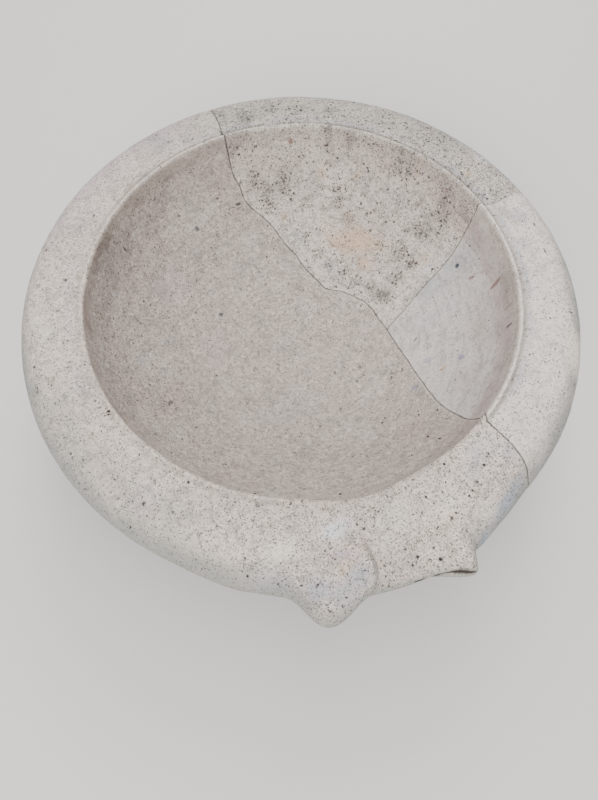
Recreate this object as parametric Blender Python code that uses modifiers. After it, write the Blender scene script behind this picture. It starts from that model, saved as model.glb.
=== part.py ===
# Mortarium: a shallow pottery mixing bowl with a hooked flange and a pulled pouring spout.
# It was broken clean through and rejoined, so it is three sherds with a hair-thin join between them.
# Metres, +Z up. The origin is the centre of the flat base's underside, and the spout points along -Y.

import math

import bmesh
import bpy
from mathutils import Vector

# Bowl
height = 0.095  # base underside to the top of the bead
mouth_radius = 0.1245  # inner edge of the bead
base_radius = 0.062
base_flare = 0.026  # width of the straight flare from the base's edge up to the curved wall
wall_thickness = 0.011
floor_thickness = 0.0145

# Bead round the mouth, with a fine groove outside it
bead_width = 0.0052
bead_height = 0.0035  # above the curve of the bowl, at its inner side
bead_rise = 0.0016  # above the flange, at its outer side
groove_width = 0.0016
groove_depth = 0.0005

# Flange: a level stretch, then a roll that hooks down
flange_level = 0.0114  # width of the level stretch
flange_fall = 0.0009  # how far that stretch slopes down
flange_roll = 0.0223  # how far the rolled edge reaches out
flange_drop = 0.0241  # how far the rolled edge comes down
roll_fullness = 2.4  # 2 is a plain ellipse, and more is fuller at the shoulder
flange_thickness = 0.012

# Spout. Places across it are measured at the flange's round, from its middle line, +X positive
lip_reach = 0.0065  # beyond the flange's round
lip_left = 0.038  # the full lip lies between these two places
lip_right = 0.029
lip_fade = 0.032  # width over which the lip dies out into the flange, on each side
lip_lift = 0.5  # share of the flange's drop that the lip doesn't come down
lip_thinning = 0.35
lobe_reach = 0.0118  # the pulled lobe left of the channel, beyond the lip
lobe_place = 0.0375
lobe_width = 0.041
lobe_lean = 0.54  # share of the lobe's width that lies on the channel's side of its tip
spur_reach = 0.0066  # the small spur right of the channel, beyond the lip
spur_place = 0.033
spur_width = 0.0235
spur_lean = 0.7
channel_depth = 0.0024
channel_step = 0.004  # width of the step at the channel's left edge
channel_bank = 0.012  # width of the slope at its right edge
channel_left = 0.0145  # the channel's left edge, which is a low step
channel_right = 0.0145  # its right edge at the lip
channel_flare = 0.0275  # how much farther right that edge is at the mouth
fold_height = 0.0022  # the clay folded over on both sides of the channel
fold_width = 0.018
bead_stop_left = 0.062  # the bead stops at these two places
bead_stop_right = 0.087
bead_fade = 0.012
mouth_reach = 0.0025  # the mouth is drawn out towards the spout
mouth_place = 0.010
mouth_width = 0.090
mouth_rise = 0.030  # height of the stretch below the bead that is drawn out with it

# Breaks
join_gap = 0.0003

# Fineness of the solids
turn_steps = 90
spout_crowding = 0.6  # how much closer the steps are at the spout than on average
bowl_steps = 11

# Plan of the breaks in shares of the rim's radius, as they run in the pot. The long break crosses the
# bowl from the far rim to the near right rim, and the short one leaves it for the right rim, just inside
# the edge of the base. A base of another size takes the middle of the breaks with it.
base_share = 0.3758
long_break = [
    (-0.088, 1.30), (-0.086, 0.80), (-0.078, 0.70), (-0.060, 0.66), (-0.045, 0.61),
    (0.040, 0.535), (0.078, 0.450), (0.108, 0.420), (0.145, 0.330), (0.182, 0.245),
    (0.250, 0.205), (0.330, 0.110), (0.365, -0.038), (0.374, -0.160), (0.388, -0.330),
    (0.384, -0.560), (0.400, -0.640), (0.452, -0.715), (0.490, -0.815), (0.660, -1.130),
]
meeting = 12  # the point of the long break where the short one leaves it
short_break = [
    (0.365, -0.038), (0.435, 0.000), (0.515, 0.035), (0.620, 0.078), (0.690, 0.118),
    (0.740, 0.152), (0.788, 0.134), (0.838, 0.158), (0.890, 0.168), (1.290, 0.240),
]

rim_radius = mouth_radius + bead_width + groove_width + flange_level + flange_roll
shoulder_radius = rim_radius - flange_roll
flange_top = height - bead_rise


def ease(value):
    """Smooth ramp from 0 to 1."""
    t = min(1.0, max(0.0, value))
    return t * t * (3 - 2 * t)


def bell(offset, half_width):
    """Smooth bump: 1 at the middle, 0 from the half width on."""
    t = min(1.0, abs(offset) / half_width)
    return 0.5 + 0.5 * math.cos(math.pi * t)


def arc(centre, across, up, start, end, steps, fullness=2.0):
    """Points on an ellipse about centre, from start to end degrees, without the first one."""
    points = []
    for i in range(1, steps + 1):
        angle = math.radians(start + (end - start) * i / steps)
        out = math.copysign(abs(math.cos(angle)) ** (2 / fullness), math.cos(angle))
        rise = math.copysign(abs(math.sin(angle)) ** (2 / fullness), math.sin(angle))
        points.append((centre[0] + across * out, centre[1] + up * rise))
    return points


def section(reach=0.0, lip=0.0, bead=1.0, pull=0.0, relief=None):
    """The wall's section, as radius and height: up the inside from the middle of the floor, over the
    rim and down the outside. The spout changes its reach, drop, bead and mouth, and adds relief on top."""
    bowl_top = height - bead_height
    depth = bowl_top - floor_thickness
    points = [(0.0, floor_thickness)]
    points += arc((0.0, bowl_top), mouth_radius, depth, -90, 0, bowl_steps)

    crest = mouth_radius + bead_width / 2
    crest_height = bead_height * (0.25 + 0.75 * bead)
    crest_rise = bowl_top + crest_height - flange_top
    points += arc((crest, bowl_top), bead_width / 2, crest_height, 180, 90, 3)
    points += arc((crest, flange_top), bead_width / 2, crest_rise, 90, 0, 2)
    top = len(points)
    bead_end = mouth_radius + bead_width
    points.append((bead_end + groove_width / 2, flange_top - groove_depth * bead))
    points.append((bead_end + groove_width, flange_top))
    points = [(radius + pull * ease(1 + (level - bowl_top) / mouth_rise), level) for radius, level in points]

    roll = flange_roll + reach
    drop = flange_drop * (1 - lip_lift * lip)
    thickness = flange_thickness * (1 - lip_thinning * lip)
    shoulder_top = flange_top - flange_fall
    centre = (shoulder_radius, shoulder_top - drop)
    points.append((shoulder_radius, shoulder_top))
    points += arc(centre, roll, drop, 90, 0, 6, roll_fullness)
    tip = (shoulder_radius + roll - thickness / 2, centre[1])
    points += arc(tip, thickness / 2, thickness / 2, 0, -180, 4)
    if relief:
        points[top:] = [(radius, level + relief(radius)) for radius, level in points[top:]]
    points += arc(centre, roll - thickness, drop - thickness, 0, 90, 4)

    wall_across = mouth_radius + wall_thickness
    wall_up = depth + wall_thickness
    root = math.degrees(math.asin((points[-1][1] - bowl_top) / wall_up))
    foot = -math.degrees(math.acos((base_radius + base_flare) / wall_across))
    points += [(wall_across * math.cos(math.radians(root)), points[-1][1])]
    points += arc((0.0, bowl_top), wall_across, wall_up, root, foot, 5)
    points += [(base_radius, 0.0), (base_radius / 2, 0.0), (0.0, 0.0)]
    return points


def lip_share(across):
    """How much of the spout's lip there is at a place across it."""
    beyond = -across - lip_left if across < 0 else across - lip_right
    return 1 - ease(beyond / lip_fade)


def bead_share(across):
    """The bead stops on both sides of the spout."""
    beyond = -across - bead_stop_left if across < 0 else across - bead_stop_right
    return ease(0.5 + beyond / bead_fade)


def spout_reach(across):
    """How far the flange's edge lies beyond its round. The lobe and the spur lean away from the channel."""
    lobe_half = lobe_width * (1 - lobe_lean if across < -lobe_place else lobe_lean)
    spur_half = spur_width * (spur_lean if across < spur_place else 1 - spur_lean)
    lobe = lobe_reach * bell(across + lobe_place, lobe_half)
    spur = spur_reach * bell(across - spur_place, spur_half)
    return lip_reach * lip_share(across) + lobe + spur


def spout_relief(across, out):
    """Height of the spout's top over the plain flange: the channel, and a fold on both sides of it."""
    along = (out - mouth_radius) / (rim_radius - mouth_radius)
    right_edge = channel_right + channel_flare * (1 - along)
    inside = ease((across + channel_left) / channel_step)
    inside *= ease((right_edge - across) / channel_bank)
    left_fold = bell(across + channel_left + fold_width * 0.7, fold_width)
    right_fold = bell(across - right_edge - fold_width * 0.5, fold_width)
    folds = fold_height * (left_fold + right_fold) * lip_share(across)
    return (folds - channel_depth * inside) * ease(1.5 * along)


def section_at(angle):
    """The section at an angle from the spout's middle line, positive towards +X."""
    across = rim_radius * math.sin(angle)
    if abs(angle) > math.pi / 3:
        return section()

    def relief(out):
        return spout_relief(out * math.sin(angle), out)

    pull = mouth_reach * bell(across + mouth_place, mouth_width / 2)
    return section(spout_reach(across), lip_share(across), bead_share(across), pull, relief)


def turned_bowl():
    """The whole bowl as one mesh: the plain section turned, then drawn out to the spout."""
    plain = section()
    outline = bpy.data.meshes.new("section")
    edges = [(i, i + 1) for i in range(len(plain) - 1)]
    outline.from_pydata([(x, 0.0, z) for x, z in plain], edges, [])
    turned = bpy.data.objects.new("section", outline)
    bpy.context.scene.collection.objects.link(turned)
    screw = turned.modifiers.new("turning", "SCREW")
    screw.steps = screw.render_steps = turn_steps
    screw.use_merge_vertices = True
    screw.merge_threshold = 0.00001

    shown = turned.evaluated_get(bpy.context.evaluated_depsgraph_get())
    mesh = bpy.data.meshes.new_from_object(shown)
    bpy.data.objects.remove(turned)

    clay_body = bmesh.new()
    clay_body.from_mesh(mesh)
    sections = {}
    for vertex in clay_body.verts:
        radius = math.hypot(vertex.co.x, vertex.co.y)
        if radius < base_radius / 4:
            continue
        nearest = min(range(len(plain)), key=lambda k: math.dist(plain[k], (radius, vertex.co.z)))
        turn = math.atan2(vertex.co.x, -vertex.co.y)
        angle = turn - spout_crowding * math.sin(turn)
        key = round(turn, 4)
        if key not in sections:
            sections[key] = section_at(angle)
        new_radius, new_height = sections[key][nearest]
        vertex.co = (new_radius * math.sin(angle), -new_radius * math.cos(angle), new_height)
    bmesh.ops.triangulate(clay_body, faces=clay_body.faces)
    bmesh.ops.recalc_face_normals(clay_body, faces=clay_body.faces)
    clay_body.to_mesh(mesh)
    clay_body.free()
    return mesh


def in_plan(share):
    """A point of the breaks at its real size."""
    reach = math.hypot(*share)
    if reach < base_share:
        radius = base_radius * reach / base_share
    else:
        radius = base_radius + (rim_radius - base_radius) * (reach - base_share) / (1 - base_share)
    return Vector(share) * (radius / reach)


def shifted(path, shift):
    """The path moved sideways by half the join, to its left where shift is positive."""
    points = [in_plan(share) for share in path]
    moved = []
    for i, point in enumerate(points):
        before = (point - points[i - 1]).normalized() if i > 0 else None
        after = (points[i + 1] - point).normalized() if i < len(points) - 1 else None
        before = before or after
        after = after or before
        middle = (before + after).normalized()
        stretch = 1 / max(0.5, middle.dot(before))
        moved.append(point + Vector((-middle.y, middle.x)) * shift * stretch)
    return moved


def far_arc(start, end, turn):
    """Points well outside the pot, from one point's bearing round to the other's, to the left for turn 1."""
    from_angle = math.atan2(start[1], start[0])
    swing = math.atan2(end[1], end[0]) - from_angle
    swing = turn * ((turn * swing) % (2 * math.pi))
    steps = 8
    radius = 1.6 * rim_radius
    angles = [from_angle + swing * i / steps for i in range(steps + 1)]
    return [Vector((radius * math.cos(a), radius * math.sin(a))) for a in angles]


def region(name, path, shift, turn, collection):
    """An upright block over one sherd's share of the plan, bounded by breaks and closed outside the pot."""
    corners = shifted(path, shift) + far_arc(path[-1], path[0], turn)
    curve = bpy.data.curves.new(name, "CURVE")
    curve.dimensions = "2D"
    curve.fill_mode = "BOTH"
    curve.extrude = height
    spline = curve.splines.new("POLY")
    spline.points.add(len(corners) - 1)
    for point, corner in zip(spline.points, corners):
        point.co = (corner.x, corner.y, 0.0, 1.0)
    spline.use_cyclic_u = True
    flat = bpy.data.objects.new(name, curve)
    flat.location.z = height / 2
    collection.objects.link(flat)

    shown = flat.evaluated_get(bpy.context.evaluated_depsgraph_get())
    block = bpy.data.meshes.new_from_object(shown)
    place = flat.matrix_world.copy()
    bpy.data.objects.remove(flat)
    welded = bmesh.new()
    welded.from_mesh(block)
    bmesh.ops.remove_doubles(welded, verts=welded.verts, dist=0.00001)
    bmesh.ops.recalc_face_normals(welded, faces=welded.faces)
    welded.to_mesh(block)
    welded.free()

    cutter = bpy.data.objects.new(name, block)
    cutter.matrix_world = place
    cutter.hide_render = True
    cutter.display_type = "WIRE"
    collection.objects.link(cutter)
    return cutter


def sherd(name, bowl, cutter, material, collection):
    """One sherd: the bowl's clay inside its region, with crisp edges where it broke."""
    whole = bpy.data.objects.new(name, bowl)
    collection.objects.link(whole)
    broken = whole.modifiers.new("break", "BOOLEAN")
    broken.operation = "INTERSECT"
    broken.solver = "EXACT"
    broken.object = cutter
    shown = whole.evaluated_get(bpy.context.evaluated_depsgraph_get())
    mesh = bpy.data.meshes.new_from_object(shown)
    bpy.data.objects.remove(whole)

    mesh.materials.clear()
    mesh.materials.append(material)
    mesh.shade_smooth()
    mesh.set_sharp_from_angle(angle=math.radians(35))
    piece = bpy.data.objects.new(name, mesh)
    collection.objects.link(piece)
    return piece


def clay(name, colour, roughness):
    material = bpy.data.materials.new(name)
    material.use_nodes = True
    shader = material.node_tree.nodes["Principled BSDF"]
    shader.inputs["Base Color"].default_value = (*colour, 1)
    shader.inputs["Roughness"].default_value = roughness
    shader.inputs["Metallic"].default_value = 0.0
    return material


def main():
    for old in list(bpy.data.objects):
        bpy.data.objects.remove(old)
    pot = bpy.data.collections.new("mortarium")
    cutters = bpy.data.collections.new("regions")
    bpy.context.scene.collection.children.link(pot)
    bpy.context.scene.collection.children.link(cutters)

    bowl = turned_bowl()
    half = join_gap / 2
    upper = long_break[: meeting + 1] + short_break[1:]
    right = short_break[::-1] + long_break[meeting + 1 :]
    spout_region = region("spout_region", long_break, -half, -1, cutters)
    gritty_region = region("gritty_region", upper, half, 1, cutters)
    smooth_region = region("smooth_region", right, half, 1, cutters)

    sherd("spout_sherd", bowl, spout_region, clay("buff_clay", (0.53, 0.47, 0.41), 0.9), pot)
    sherd("gritty_sherd", bowl, gritty_region, clay("gritty_clay", (0.50, 0.45, 0.39), 0.9), pot)
    sherd("smooth_sherd", bowl, smooth_region, clay("pale_clay", (0.52, 0.47, 0.42), 0.85), pot)


main()
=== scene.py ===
import math

import bmesh
import bpy
import numpy as np
from mathutils import Matrix, Vector, noise
from mathutils.kdtree import KDTree


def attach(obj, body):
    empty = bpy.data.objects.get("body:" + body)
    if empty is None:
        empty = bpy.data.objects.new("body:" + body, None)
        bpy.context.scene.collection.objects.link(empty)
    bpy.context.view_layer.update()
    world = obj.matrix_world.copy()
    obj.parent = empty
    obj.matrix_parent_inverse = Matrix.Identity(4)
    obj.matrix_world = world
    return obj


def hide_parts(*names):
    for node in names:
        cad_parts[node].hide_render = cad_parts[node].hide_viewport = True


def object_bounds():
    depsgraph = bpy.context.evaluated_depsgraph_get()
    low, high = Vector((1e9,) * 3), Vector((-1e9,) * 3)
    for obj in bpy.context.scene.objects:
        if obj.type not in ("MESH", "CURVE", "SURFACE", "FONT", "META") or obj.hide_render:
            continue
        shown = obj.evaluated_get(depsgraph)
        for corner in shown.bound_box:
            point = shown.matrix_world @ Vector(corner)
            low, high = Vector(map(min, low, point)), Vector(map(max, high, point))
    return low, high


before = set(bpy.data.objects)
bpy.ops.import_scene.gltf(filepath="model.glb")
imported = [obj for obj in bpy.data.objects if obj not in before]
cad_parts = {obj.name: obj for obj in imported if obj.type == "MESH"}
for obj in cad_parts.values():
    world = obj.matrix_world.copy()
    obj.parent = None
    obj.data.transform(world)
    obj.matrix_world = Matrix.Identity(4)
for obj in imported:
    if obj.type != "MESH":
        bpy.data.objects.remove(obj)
cadLow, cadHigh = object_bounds()
print("frame loaded:", ", ".join(sorted(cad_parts)))

# The bowl as it left the wheel, in metres. Height and reach come from the frame.
bowl = {
    "height": cadHigh.z,
    "rimRadius": (cadHigh.x - cadLow.x) / 2,
    "mouthRadius": 0.1236,
    "baseRadius": 0.062, "baseFlare": 0.026, "baseRound": 0.0018,
    "wall": 0.011, "floor": 0.0145,
    "beadWidth": 0.0028, "beadHeight": 0.0035, "beadRise": 0.0014,
    "grooveWidth": 0.0016, "grooveDepth": 0.0006,
    "flangeLevel": 0.0147, "flangeFall": 0.0009, "flangeDrop": 0.0241,
    "rollFullness": 2.4, "flangeThickness": 0.012,
    # how far the mouth is pressed in, and where, in degrees from the spout
    "squeeze": 0.0004, "squeezeTurn": 75.0, "squeezeSpan": 42.0,
    "beadFaint": (-145, -15, 0.62),  # where the bead is worn down, and by what share
    "beadDent": (170, 9.0, 0.5),  # middle, half width and share of a dent in it
    "turnSteps": 456,
    "spoutCrowding": 0.35,  # the turning steps lie closer at the spout
}
bowl["shoulder"] = bowl["mouthRadius"] + bowl["beadWidth"] + bowl["grooveWidth"] + bowl["flangeLevel"]
bowl["flangeRoll"] = bowl["rimRadius"] - bowl["shoulder"]
bowl["bowlTop"] = bowl["height"] - bowl["beadHeight"]
bowl["flangeTop"] = bowl["height"] - bowl["beadRise"]

# The spout points along -Y. Places across it are along X, and lines in plan are in millimetres.
spout = {
    "lipReach": 0.0065, "lipLeft": 0.038, "lipRight": 0.029, "lipFade": 0.032,
    "lipLift": 0.5, "lipThinning": 0.35,
    "lobeReach": 0.0118, "lobePlace": 0.0375, "lobeWidth": 0.041, "lobeLean": 0.54,
    "spurReach": 0.0082, "spurPlace": 0.0314, "spurWidth": 0.0275, "spurLean": 0.77,
    "shoulders": [(-0.074, 0.036, 0.0030), (0.056, 0.024, 0.0024)],  # place, half width and reach
    "beadStopLeft": 0.062, "beadStopRight": 0.087, "beadFade": 0.012,
    "mouthReach": 0.0025, "mouthPlace": 0.010, "mouthWidth": 0.090, "mouthRise": 0.030, "mouthTurn": 1.2,
    "halfSector": 60.0,  # nothing of the spout but the mouth's pull goes beyond this many degrees
    "channelBank": 0.010, "stepFade": 0.014,
    "stepLine": [(-17, -126), (-15.6, -133.8), (-14.3, -143), (-13.6, -152), (-13.0, -158.5), (-13.6, -164),
                 (-16.2, -168.6), (-21, -174), (-27, -180)],
    "stepHeight": 0.0030, "stepWidth": 0.0032,
    "creaseLine": [(-47, -129), (-41, -137), (-35, -143), (-30, -148.5), (-25, -151.8), (-18, -152.4),
                   (-13.5, -150.5)],
    "creaseDepth": 0.0020, "creaseWidth": 0.0030,
    "pillow": (-0.0275, -0.1335, 0.0125, 0.0110, 0.0012),  # place, half sizes and height
    "lobe": (-0.0370, -0.1680, 0.0180, 0.0150, 0.0012),
    "grooveLine": [(45, -120), (41.6, -126.2), (34.6, -135.7), (28.4, -143.8), (23.5, -151.4),
                   (18.0, -157.5), (13.0, -162.5)],
    "grooveDepth": 0.0012, "grooveWidth": 0.0042,
    "ridgeLine": [(68, -116), (66.5, -122.8), (55, -133), (43.5, -144.5), (34, -156.5), (30.0, -168),
                  (31.0, -177)],
    "ridgeHeight": 0.0026, "ridgeWidth": 0.013,
    "channelDepth": 0.0014,
    # the crack where the folded clay didn't close, just inside the lip's edge
    "foldLine": [(4, -170.8), (12, -170.9), (18, -171.2), (22.5, -172.0), (27, -173.4), (30.5, -174.8),
                 (33, -175.2)],
    "foldGap": 0.0013,
    "foldWidest": (0.80, 0.30),  # share of its length, and how far that goes
    "foldBand": 0.0026,
}

# The breaks as they run in plan, in millimetres
breaks = {
    "long": [
        (-24, 230), (-16.8, 158), (-15.6, 149), (-14.3, 139), (-14.4, 128), (-13.2, 122.5), (-12.9, 117.8),
        (-11.3, 114.4), (-9.5, 113.2), (-9.2, 109.5), (-8.2, 105.8), (-5, 102.4), (3.8, 94), (7.3, 89),
        (10.4, 82), (13, 75.8), (17.8, 68.5), (19.4, 63.5), (23, 55), (27.1, 47.5), (30, 41), (34.5, 37.3),
        (40.7, 34.2), (46.5, 28.6), (54, 19.6), (56.4, 13.6), (57.8, 5), (60.2, -6.3), (61.5, -16.4),
        (63.6, -37), (64.8, -56), (65.3, -72), (66.6, -82), (67.9, -89), (68.2, -94.5), (69, -98.5),
        (68.8, -102), (67, -105), (68, -108.8), (70, -112.9), (73.8, -120.5), (76.5, -128.5),
        (78.5, -136.5), (78.2, -141), (108.9, -186),
    ],
    "short": [
        (60.2, -6.3), (67.3, -1.9), (76.8, 3), (84.9, 7.6), (93.6, 11.5), (101.5, 14.4), (108.8, 17.2),
        (112.4, 19), (116.6, 21.9), (120, 24.8), (122.6, 25.6), (126.5, 23.5), (131.6, 23.2),
        (137.1, 25.2), (146.8, 28.4), (213, 40),
    ],
    "step": 0.0010, "jitter": 0.00016, "jitterLength": 0.005, "jitterFade": 0.004,
    "gap": 0.00008,  # the sherds fit closely where they were joined
    "wornDepth": 0.00030, "wornWidth": 0.00045, "chipDepth": 0.00050, "chipWidth": 0.00070,
    "chipPattern": (0.004, 5.0),  # width and seed of the wearing's unevenness
    "band": 0.0024, "darkWidth": 0.00036,
    "shortInside": 0.70,  # the short break is the tighter one, most of all on the flange
    "shortOutside": 0.35,
    # places where a larger chip has gone, in plan, with their radius
    "chips": [(-13.3, 123.2, 2.0), (30.4, 40.2, 1.6), (60.2, -6.0, 1.1), (66.0, -104.0, 2.0),
              (-10.4, 113.8, 1.1), (122.4, 25.4, 1.4), (10.4, 82.0, 1.0), (46.5, 28.6, 0.9)],
}

# Larger holes in the surface: place in plan, radius and depth, in millimetres
pits = [
    (37.1, -122.4, 0.8, 0.7), (56.4, -128.7, 0.9, 0.8), (60.9, -123.9, 0.7, 0.6), (45.4, -139, 0.8, 0.9),
    (49.6, -135.7, 0.7, 0.8), (42.6, -141.2, 0.8, 0.8), (33.1, -147.1, 0.7, 0.8), (30.3, -148.8, 0.8, 0.8),
    (22.3, -135.3, 0.8, 0.7), (17.7, -142, 0.7, 0.7), (8.4, -160.8, 0.9, 0.9), (17.2, -159.1, 0.7, 0.7),
    (18.4, -165.1, 1.1, 1.1), (4.9, -163.7, 0.7, 0.6), (-5.6, -163.9, 0.6, 0.6), (-59.2, -152.7, 0.7, 0.6),
    (-41.6, -159.2, 0.8, 0.6), (-39.4, -159.6, 0.6, 0.6), (-153.7, -5.7, 0.8, 0.6),
    (-154, -18.7, 0.7, 0.6), (-119.1, -44.5, 0.9, 0.7), (-119.4, -46.6, 0.6, 0.6),
    (-122.3, -81.9, 0.6, 0.5), (-121.3, -105.2, 0.7, 0.6), (-72.1, -145, 0.9, 0.7), (-88, -93.9, 0.9, 0.7),
    (-128.4, 43.6, 0.8, 0.6), (-135.7, 24.2, 0.6, 0.5), (-137, 70.4, 0.7, 0.5), (148.7, 2.8, 0.8, 0.7),
    (145.7, -17.5, 0.7, 0.6), (142.4, -59.7, 0.7, 0.6), (-13.6, -115.2, 0.8, 0.6), (48.4, -94.7, 0.8, 0.7),
    (51.8, -100.2, 0.7, 0.6), (53.1, -73.8, 0.6, 0.5), (52.3, -76.5, 0.7, 0.6), (-27.1, 108.2, 0.6, 0.5),
    (-62.1, 26.6, 0.6, 0.5), (-57.7, -101.9, 0.8, 0.6), (-60.1, -6.2, 0.7, 0.4), (-100.7, -35.8, 0.7, 0.4),
    (-69.2, -75, 0.7, 0.5),
]

# What the wheel and the hand left on the surface. Unevenness: height, width, seed and octaves
wheel = {
    "ridgePitch": 0.0085, "ridgeHeight": 0.00008,
    "ridgeSwirl": (1.25, 0.035, 4.0),  # how far the ridges stray, the width of that and its seed
    "uneven": [(0.00035, 0.050, 1.0, 3), (0.00012, 0.009, 2.0, 3), (0.00006, 0.0022, 3.0, 2)],
    "footBand": 0.0006,  # nothing stands out below the foot
    "deepest": -0.0035, "highest": 0.0008,
}


def ease(value):
    t = np.clip(value, 0.0, 1.0)
    return t * t * (3 - 2 * t)


def bell(offset, halfWidth):
    return 0.5 + 0.5 * np.cos(np.pi * np.clip(np.abs(offset) / halfWidth, 0.0, 1.0))


def plan(points):
    return np.array(points) / 1000


def ellipseArc(centre, across, up, start, end, steps, fullness=2.0):
    # points on an ellipse, without the first one
    angles = np.radians(np.linspace(start, end, steps + 1)[1:])
    out = np.copysign(np.abs(np.cos(angles)) ** (2 / fullness), np.cos(angles))
    rise = np.copysign(np.abs(np.sin(angles)) ** (2 / fullness), np.sin(angles))
    return [(centre[0] + across * a, centre[1] + up * b) for a, b in zip(out, rise)]


def straight(start, end, steps):
    start, end = np.array(start), np.array(end)
    return [tuple(start + (end - start) * i / steps) for i in range(1, steps + 1)]


def bowlSection(reach=0.0, lip=0.0, bead=1.0, pull=0.0):
    # up the inside from the middle of the floor, over the rim and down the outside
    b = bowl
    mouth, bowlTop, flangeTop, shoulder = b["mouthRadius"], b["bowlTop"], b["flangeTop"], b["shoulder"]
    base, rounding = b["baseRadius"], b["baseRound"]
    depth = bowlTop - b["floor"]
    points = [(0.0, b["floor"])]
    points += ellipseArc((0.0, bowlTop), mouth, depth, -90, 0, 96)
    marks = {"bead": len(points)}
    crest = mouth + b["beadWidth"] / 2
    points += ellipseArc((crest, bowlTop), b["beadWidth"] / 2, b["beadHeight"], 180, 90, 7)
    marks["crest"] = len(points)
    points += ellipseArc((crest, flangeTop), b["beadWidth"] / 2, b["beadRise"], 90, 0, 6)
    beadEnd = mouth + b["beadWidth"]
    for share in (0.25, 0.5, 0.75, 1.0):
        dip = b["grooveDepth"] * math.sin(math.pi * share)
        points.append((beadEnd + b["grooveWidth"] * share, flangeTop - dip))
    for i in range(marks["bead"], len(points)):
        radius, level = points[i]
        share = (radius - mouth) / (b["beadWidth"] + b["grooveWidth"])
        rounded = math.sqrt(max(0.0, 1 - (1 - share) ** 2))
        plainLevel = bowlTop + (flangeTop - bowlTop) * rounded
        points[i] = (radius, level + (plainLevel - level) * (1 - bead))
    drawn = [pull * float(ease(1 + (level - bowlTop) / spout["mouthRise"])) for _, level in points]
    points = [(radius + moved, level) for (radius, level), moved in zip(points, drawn)]
    roll = b["flangeRoll"] + reach
    drop = b["flangeDrop"] * (1 - spout["lipLift"] * lip)
    thickness = b["flangeThickness"] * (1 - spout["lipThinning"] * lip)
    shoulderTop = flangeTop - b["flangeFall"]
    centre = (shoulder, shoulderTop - drop)
    points += straight(points[-1], (shoulder, shoulderTop), 9)
    points += ellipseArc(centre, roll, drop, 90, 0, 26, b["rollFullness"])
    tip = (shoulder + roll - thickness / 2, centre[1])
    points += ellipseArc(tip, thickness / 2, thickness / 2, 0, -180, 12)
    marks["under"] = len(points)
    points += ellipseArc(centre, roll - thickness, drop - thickness, 0, 90, 10)
    wallAcross = mouth + b["wall"]
    wallUp = depth + b["wall"]
    root = math.degrees(math.asin((points[-1][1] - bowlTop) / wallUp))
    foot = -math.degrees(math.acos((base + b["baseFlare"]) / wallAcross))
    points += straight(points[-1], (wallAcross * math.cos(math.radians(root)), points[-1][1]), 5)
    points += ellipseArc((0.0, bowlTop), wallAcross, wallUp, root, foot, 26)
    points += straight(points[-1], (base + rounding, rounding * 1.2), 14)
    points += ellipseArc((base, rounding), rounding, rounding, -35, -90, 3)
    points += straight(points[-1], (0.0, 0.0), 14)
    return points, marks


def lipShare(across):
    beyond = np.where(across < 0, -across - spout["lipLeft"], across - spout["lipRight"])
    return 1 - ease(beyond / spout["lipFade"])


def beadShare(across):
    beyond = np.where(across < 0, -across - spout["beadStopLeft"], across - spout["beadStopRight"])
    return ease(0.5 + beyond / spout["beadFade"])


def beadLeft(turn):
    # how much of the bead is left, by the turn from the spout towards +X in radians
    turned = np.degrees(turn)
    start, end, faint = bowl["beadFaint"]
    middle, half, dent = bowl["beadDent"]
    worn = ease((end - turned) / 20) * ease((turned - start) / 30)
    return (1 - faint * worn) * (1 - dent * bell(turned - middle, half))


def mouthPull(x, y):
    # the mouth isn't quite round: drawn out by the spout and squeezed on the right
    turn = np.arctan2(x, -y)
    across = bowl["rimRadius"] * np.sin(turn)
    drawn = spout["mouthReach"] * bell(across + spout["mouthPlace"], spout["mouthWidth"] / 2)
    pressed = bowl["squeeze"] * bell(np.degrees(turn) - bowl["squeezeTurn"], bowl["squeezeSpan"])
    return drawn * (np.abs(turn) < spout["mouthTurn"]) - pressed


def spoutReach(across):
    # the lobe and the spur lean away from the channel
    lobeSide = 1 - spout["lobeLean"] if across < -spout["lobePlace"] else spout["lobeLean"]
    spurSide = spout["spurLean"] if across < spout["spurPlace"] else 1 - spout["spurLean"]
    lobe = spout["lobeReach"] * bell(across + spout["lobePlace"], spout["lobeWidth"] * lobeSide)
    spur = spout["spurReach"] * bell(across - spout["spurPlace"], spout["spurWidth"] * spurSide)
    shoulders = sum(reach * bell(across - place, half) for place, half, reach in spout["shoulders"])
    return spout["lipReach"] * lipShare(across) + lobe + spur + shoulders


def stretches(path):
    # the length of each stretch of a path, and where along it they start
    lengths = np.hypot(*np.diff(path, axis=0).T)
    return lengths, np.concatenate([[0], np.cumsum(lengths)])


def nearPath(points, path):
    # distance to a path in plan, the side of it (left is positive) and how far along it, 0 to 1
    x, y = points[:, 0], points[:, 1]
    best = np.full(x.shape, 1e9)
    side = np.zeros(x.shape)
    along = np.zeros(x.shape)
    lengths, starts = stretches(path)
    for (ax, ay), (bx, by), length, start in zip(path, path[1:], lengths, starts):
        ux, uy = (bx - ax) / length, (by - ay) / length
        t = np.clip((x - ax) * ux + (y - ay) * uy, 0, length)
        dx, dy = x - ax - t * ux, y - ay - t * uy
        d = np.hypot(dx, dy)
        closer = d < best
        best = np.where(closer, d, best)
        side = np.where(closer, ux * dy - uy * dx, side)
        along = np.where(closer, (start + t) / starts[-1], along)
    return best, side, along


def mound(x, y, shape):
    placeX, placeY, halfX, halfY, high = shape
    return high * bell(np.hypot((x - placeX) / halfX, (y - placeY) / halfY), 1.0)


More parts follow.
